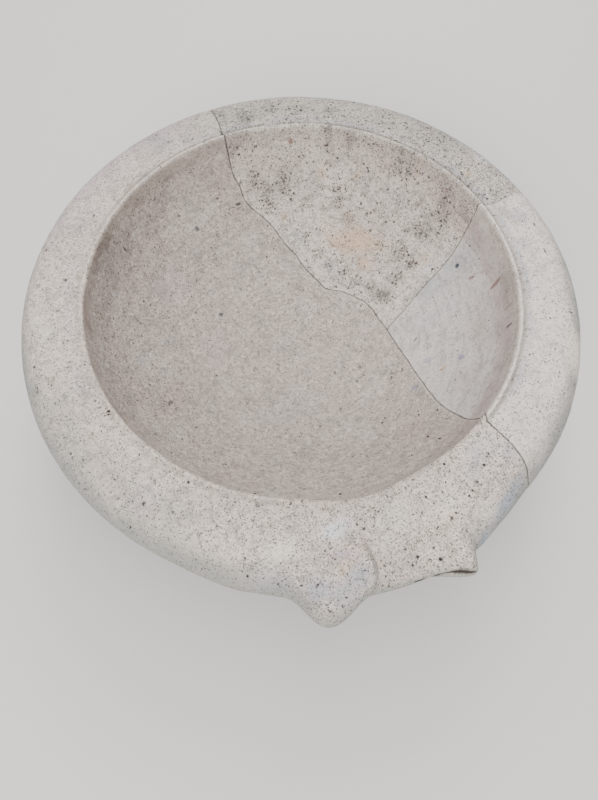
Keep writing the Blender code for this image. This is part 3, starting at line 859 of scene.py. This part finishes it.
def blendColour(tree, share, below, above):
    colours = {"Factor": share, 6: below, 7: above}
    return addNode(tree, "Mix", colours, data_type="RGBA", clamp_factor=True).outputs[2]


def newMaterial(name):
    material = bpy.data.materials.new(name)
    material.use_nodes = True
    return material, material.node_tree, material.node_tree.nodes["Principled BSDF"]


def newGroup(name, **defaults):
    # a group that makes a mask, from a vector and the values named
    group = bpy.data.node_groups.new(name, "ShaderNodeTree")
    group.interface.new_socket("Vector", in_out="INPUT", socket_type="NodeSocketVector")
    for label, value in defaults.items():
        socket = group.interface.new_socket(label, in_out="INPUT", socket_type="NodeSocketFloat")
        socket.default_value = value
    group.interface.new_socket("Mask", in_out="OUTPUT", socket_type="NodeSocketFloat")
    given = group.nodes.new("NodeGroupInput").outputs
    return group, given, group.nodes.new("NodeGroupOutput").inputs["Mask"]


def moveBySeed(group, given):
    # the same pattern taken from another place for each seed
    away = vectorMath(group, "SCALE", (0.137, 0.291, 0.173), scale=given["Seed"])
    return vectorMath(group, "ADD", given["Vector"], away)


def fromLowToHigh(group, value, given):
    # nothing where the value is below Low, and all of it above High
    limits = {"From Min": given["Low"], "From Max": given["High"]}
    return mapRange(group, value, limits, interpolation_type="SMOOTHSTEP")


def buildMottle():
    # soft patches of the size given, where the noise passes Low, full at High
    group, given, mask = newGroup("mottle", Size=0.02, Seed=0.0, Low=0.45, High=0.65, Detail=4.0)
    scale = calculate(group, "DIVIDE", 1.0, given["Size"])
    clouds = addNode(group, "TexNoise", {"Vector": moveBySeed(group, given), "Roughness": 0.6,
                     "Scale": scale, "Detail": given["Detail"]})
    group.links.new(fromLowToHigh(group, clouds.outputs["Fac"], given), mask)
    return group


def buildGrit():
    # grains: one may lie in each cell of the size given, Share says how often, Grain how large
    group, given, mask = newGroup("grit", Cell=0.003, Seed=0.0, Share=0.5, Grain=0.3)
    moved = moveBySeed(group, given)
    scale = calculate(group, "DIVIDE", 1.0, given["Cell"])
    warp = addNode(group, "TexNoise", {"Vector": moved, "Scale": times(group, scale, 2.1), "Detail": 1.0})
    bend = vectorMath(group, "SUBTRACT", warp.outputs["Color"], (0.5, 0.5, 0.5))
    bend = vectorMath(group, "SCALE", bend, scale=times(group, given["Cell"], 0.9))
    bent = vectorMath(group, "ADD", moved, bend)
    cells = addNode(group, "TexVoronoi", {"Vector": bent, "Scale": scale})
    random = addNode(group, "SeparateColor", {"Color": cells.outputs["Color"]}).outputs
    held = calculate(group, "LESS_THAN", random["Red"], given["Share"])
    vary = mapRange(group, random["Green"], {"To Min": 0.5, "To Max": 1.2})
    reach = times(group, given["Grain"], vary)
    core = times(group, reach, 0.62)
    grain = mapRange(group, cells.outputs["Distance"], {"From Min": reach, "From Max": core})
    group.links.new(times(group, grain, held), mask)
    return group


def buildStreaks():
    # marks left by the wheel, long along the turning and narrow across it
    group, given, mask = newGroup("streaks", Width=0.002, Low=0.5, High=0.7)
    flat = vectorMath(group, "MULTIPLY", given["Vector"], (1.0, 1.0, 0.0))
    heading = vectorMath(group, "NORMALIZE", flat)
    turned = addNode(group, "SeparateXYZ", {"Vector": heading}).outputs
    across = calculate(group, "DIVIDE", vectorMath(group, "LENGTH", flat), given["Width"])
    around = [times(group, turned[axis], 7.0) for axis in ("X", "Y")]
    wound = addNode(group, "CombineXYZ", {"X": across, "Y": around[0], "Z": around[1]})
    noisy = addNode(group, "TexNoise", {"Vector": wound.outputs["Vector"], "Scale": 1.0, "Detail": 3.0})
    group.links.new(fromLowToHigh(group, noisy.outputs["Fac"], given), mask)
    return group


mottle = buildMottle()
grit = buildGrit()
streaks = buildStreaks()


def useGroup(tree, group, vector, **values):
    return addNode(tree, "Group", {"Vector": vector, **values}, node_tree=group).outputs["Mask"]


def firedClay(name, look):
    # the fabric, its dirt and its stains, and the painted shade and highlights, laid over each other from
    # the clay outwards
    material, tree, shader = newMaterial(name)
    place = addNode(tree, "TexCoord").outputs["Object"]
    mask = {key: addNode(tree, "Attribute", attribute_name=key).outputs["Fac"] for key in maskNames}
    tint = addNode(tree, "Attribute", attribute_name="tint").outputs["Color"]

    colour = blendColour(tree, mask["inside"], look["outer"], look["inner"])
    colour = blendColour(tree, mask["flange"], colour, look["rim"])
    for size, seed, low, high, amount, laid in look["mottling"]:
        patches = useGroup(tree, mottle, place, Size=size, Seed=seed, Low=low, High=high)
        colour = blendColour(tree, times(tree, patches, amount), colour, laid)
    colour = blendColour(tree, mask["tintShare"], colour, tint)
    marks = times(tree, useGroup(tree, streaks, place), mask["inside"])
    marks = times(tree, marks, look["streakAmount"])
    colour = blendColour(tree, marks, colour, look["grimeAndShade"])
    height = times(tree, marks, -0.1)
    for where, cell, seed, often, grain, amount, laid, lift in look["grit"]:
        held = times(tree, mask[where], often)
        grains = useGroup(tree, grit, place, Cell=cell, Seed=seed, Share=held, Grain=grain)
        colour = blendColour(tree, times(tree, grains, amount), colour, laid)
        height = calculate(tree, "ADD", height, times(tree, grains, lift))
    for key, amount, laid in look["laidOver"]:
        colour = blendColour(tree, times(tree, mask[key], amount), colour, look[laid])
    tree.links.new(colour, shader.inputs["Base Color"])

    patches = useGroup(tree, mottle, place, Size=0.004)
    smoothest, roughest = look["rough"]
    roughness = mapRange(tree, patches, {"To Min": smoothest, "To Max": roughest})
    tree.links.new(roughness, shader.inputs["Roughness"])
    for scale, detail, rough, lift in look["grain"]:
        texture = {"Vector": place, "Scale": scale, "Detail": detail, "Roughness": rough}
        noisy = addNode(tree, "TexNoise", texture)
        height = calculate(tree, "ADD", height, times(tree, noisy.outputs["Fac"], lift))
    bump = addNode(tree, "Bump", {"Height": height, "Distance": 0.001, "Strength": 0.9})
    tree.links.new(bump.outputs["Normal"], shader.inputs["Normal"])
    return material


def brokenClay(name, look):
    # the bare core of the wall, which shows only in the breaks
    material, tree, shader = newMaterial(name)
    place = addNode(tree, "TexCoord").outputs["Object"]
    patches = useGroup(tree, mottle, place, Size=0.003, Low=0.3, High=0.7)
    tree.links.new(blendColour(tree, patches, look["dirtAndShade"], look["core"]), shader.inputs["Base Color"])
    shader.inputs["Roughness"].default_value = 0.95
    return material


buffLook = {
    "inner": (0.455, 0.388, 0.348), "rim": (0.65, 0.55, 0.486), "outer": (0.47, 0.40, 0.35),
    # the darkest colour is dirt and painted shade, the grey-brown one grime and painted shade, the palest
    # one wear and painted highlight
    "dirtAndShade": (0.030, 0.024, 0.019), "grimeAndShade": (0.19, 0.165, 0.14), "freshAndHighlight": (0.74, 0.68, 0.61),
    "core": (0.42, 0.35, 0.29),
    # patches of colour: size, seed, low, high, amount and colour
    "mottling": [
        (0.055, 1.0, 0.42, 0.66, 0.30, (0.36, 0.285, 0.265)),
        (0.026, 2.0, 0.48, 0.68, 0.45, (0.58, 0.53, 0.485)),
        (0.012, 3.0, 0.50, 0.68, 0.50, (0.28, 0.27, 0.26)),
        (0.0050, 4.0, 0.50, 0.66, 0.50, (0.25, 0.21, 0.18)),
        (0.0020, 5.0, 0.50, 0.62, 0.42, (0.18, 0.15, 0.125)),
        (0.0028, 7.0, 0.50, 0.66, 0.35, (0.76, 0.71, 0.65)),
        (0.0009, 6.0, 0.48, 0.60, 0.45, (0.20, 0.17, 0.14)),
    ],
    # grains: where, cell, seed, share, size in the cell, amount, colour and lift
    "grit": [
        ("speckle", 0.00102, 1.0, 1.00, 0.36, 0.82, (0.10, 0.083, 0.068), -0.25),
        ("speckle", 0.00160, 8.0, 0.62, 0.30, 0.80, (0.066, 0.054, 0.043), -0.40),
        ("speckle", 0.00310, 5.0, 0.30, 0.22, 0.88, (0.042, 0.036, 0.030), -0.50),
    ],
    "streakAmount": 0.35,
    # what lies over all that, in this order: mask, amount and colour; the bead's lightening is a painted
    # highlight, partly wear, and the groove, crack and pit darkening is painted shade, partly grime and dirt
    "laidOver": [("bead", 0.26, "freshAndHighlight"), ("groove", 0.55, "grimeAndShade"), ("worn", 0.30, "freshAndHighlight"),
                 ("crack", 1.0, "dirtAndShade"), ("pit", 1.0, "dirtAndShade")],
    "rough": (0.85, 0.95),
    # the surface's own grain: scale, detail, roughness and lift
    "grain": [(900.0, 5.0, 0.65, 0.25), (210.0, 4.0, 0.6, 0.40)],
}

grittyLook = {
    **buffLook,
    "inner": (0.68, 0.60, 0.54), "rim": (0.56, 0.495, 0.44),
    "grit": [
        *buffLook["grit"],
        ("cluster", 0.00440, 9.0, 0.80, 0.40, 0.50, (0.13, 0.125, 0.11), 0.20),
        ("cluster", 0.00250, 2.0, 1.00, 0.36, 0.92, (0.055, 0.047, 0.036), 0.55),
        ("cluster", 0.00165, 3.0, 1.20, 0.36, 0.88, (0.070, 0.065, 0.057), 0.45),
        ("cluster", 0.00220, 6.0, 0.55, 0.30, 0.70, (0.20, 0.115, 0.07), 0.45),
        ("inside", 0.00260, 4.0, 0.55, 0.30, 0.70, (0.84, 0.79, 0.73), 0.30),
    ],
}

paleLook = {
    **buffLook,
    "inner": (0.57, 0.525, 0.505), "rim": (0.72, 0.64, 0.585),
    "mottling": [(*patch, 0.6 * amount, laid) for *patch, amount, laid in buffLook["mottling"]],
}

camera = {
    "lens": 27.0, "pitch": 66.53, "roll": 0.91, "turn": -18.0,
    "place": (-0.0005, -0.1968, 0.2877),  # above the rim's level, before the turn
}

studio = {
    "floorSize": 6.0, "floorTone": (0.62, 0.61, 0.59), "floorRoughness": 0.8,
    "skyTone": (0.90, 0.92, 0.96), "skyStrength": 0.66,
    # name, place, size, power and tint of each
    "lights": [
        ("overhead", (0.0, 0.0, 1.45), (0.7, 1.6), 12.0, (1.0, 0.98, 0.95)),
        ("front", (-0.30, -1.35, 1.15), (0.9, 0.8), 30.0, (1.0, 0.985, 0.96)),
        ("back", (0.10, 1.30, 1.20), (0.9, 0.8), 22.0, (1.0, 0.985, 0.96)),
    ],
}

stageTurn = Matrix.Rotation(math.radians(camera["turn"]), 4, "Z")


def placeCamera():
    pitch, roll = math.radians(camera["pitch"]), math.radians(camera["roll"])
    ahead = Vector((0, math.cos(pitch), -math.sin(pitch)))
    right = Vector((1, 0, 0))
    above = right.cross(ahead)
    turnedRight = math.cos(roll) * right + math.sin(roll) * above
    turnedUp = -math.sin(roll) * right + math.cos(roll) * above
    stand = Matrix((turnedRight, turnedUp, -ahead)).transposed().to_4x4()
    stand.translation = Vector(camera["place"]) + Vector((0, 0, bowl["height"]))
    lens = bpy.data.cameras.new("camera")
    lens.lens = camera["lens"]
    lens.sensor_width = 36.0
    lens.clip_start = 0.01
    eye = addObject("camera", lens)
    eye.matrix_world = stageTurn @ stand
    bpy.context.scene.camera = eye


def setStage():
    plane = bmesh.new()
    bmesh.ops.create_grid(plane, x_segments=1, y_segments=1, size=studio["floorSize"] / 2)
    floor = addObject("floor", meshFrom(plane, "floor"))
    paint, _, shader = newMaterial("floorPaint")
    shader.inputs["Base Color"].default_value = (*studio["floorTone"], 1)
    shader.inputs["Roughness"].default_value = studio["floorRoughness"]
    floor.data.materials.append(paint)
    world = bpy.data.worlds.new("studio")
    world.use_nodes = True
    sky = world.node_tree.nodes["Background"]
    sky.inputs["Color"].default_value = (*studio["skyTone"], 1)
    sky.inputs["Strength"].default_value = studio["skyStrength"]
    bpy.context.scene.world = world
    for name, place, size, power, tint in studio["lights"]:
        lamp = bpy.data.lights.new(name, "AREA")
        lamp.shape = "RECTANGLE"
        lamp.size, lamp.size_y = size
        lamp.energy = power
        lamp.color = tint
        light = addObject(name, lamp)
        place = Vector(place)
        aimed = (-place).to_track_quat("-Z", "Y").to_matrix().to_4x4()
        aimed.translation = place
        light.matrix_world = stageTurn @ aimed


placeCamera()
setStage()
print("camera, floor and lights in place")

whole = turnBowl()
print("bowl turned")
pullSpout(whole)
print("spout pulled")
refine(whole)
weather(whole)
print("surface worn:", len(whole.polygons), "triangles")

upperPath = np.vstack([longPath[:meetingIndex + 1], shortPath[1:]])
rightPath = np.vstack([shortPath[::-1], longPath[meetingIndex + 1:]])
half = breaks["gap"] / 2
sherds = [
    ("spoutSherd", "spout_sherd", "buff_clay", buffLook, (longPath, -half, -1)),
    ("grittySherd", "gritty_sherd", "gritty_clay", grittyLook, (upperPath, half, 1)),
    ("smoothSherd", "smooth_sherd", "pale_clay", paleLook, (rightPath, half, 1)),
]
for name, node, slot, look, outline in sherds:
    region = sherdRegion(name + "Region", *outline)
    piece = breakOff(name, whole, region)
    bpy.data.objects.remove(region)
    piece.data.materials.append(firedClay(name + "Clay", look))
    piece.data.materials.append(brokenClay(name + "Core", look))
    paintMasks(piece, gritty=slot == "gritty_clay", smooth=slot == "pale_clay")
    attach(piece, "root")
    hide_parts(node)
print("sherds broken, stained and in place")
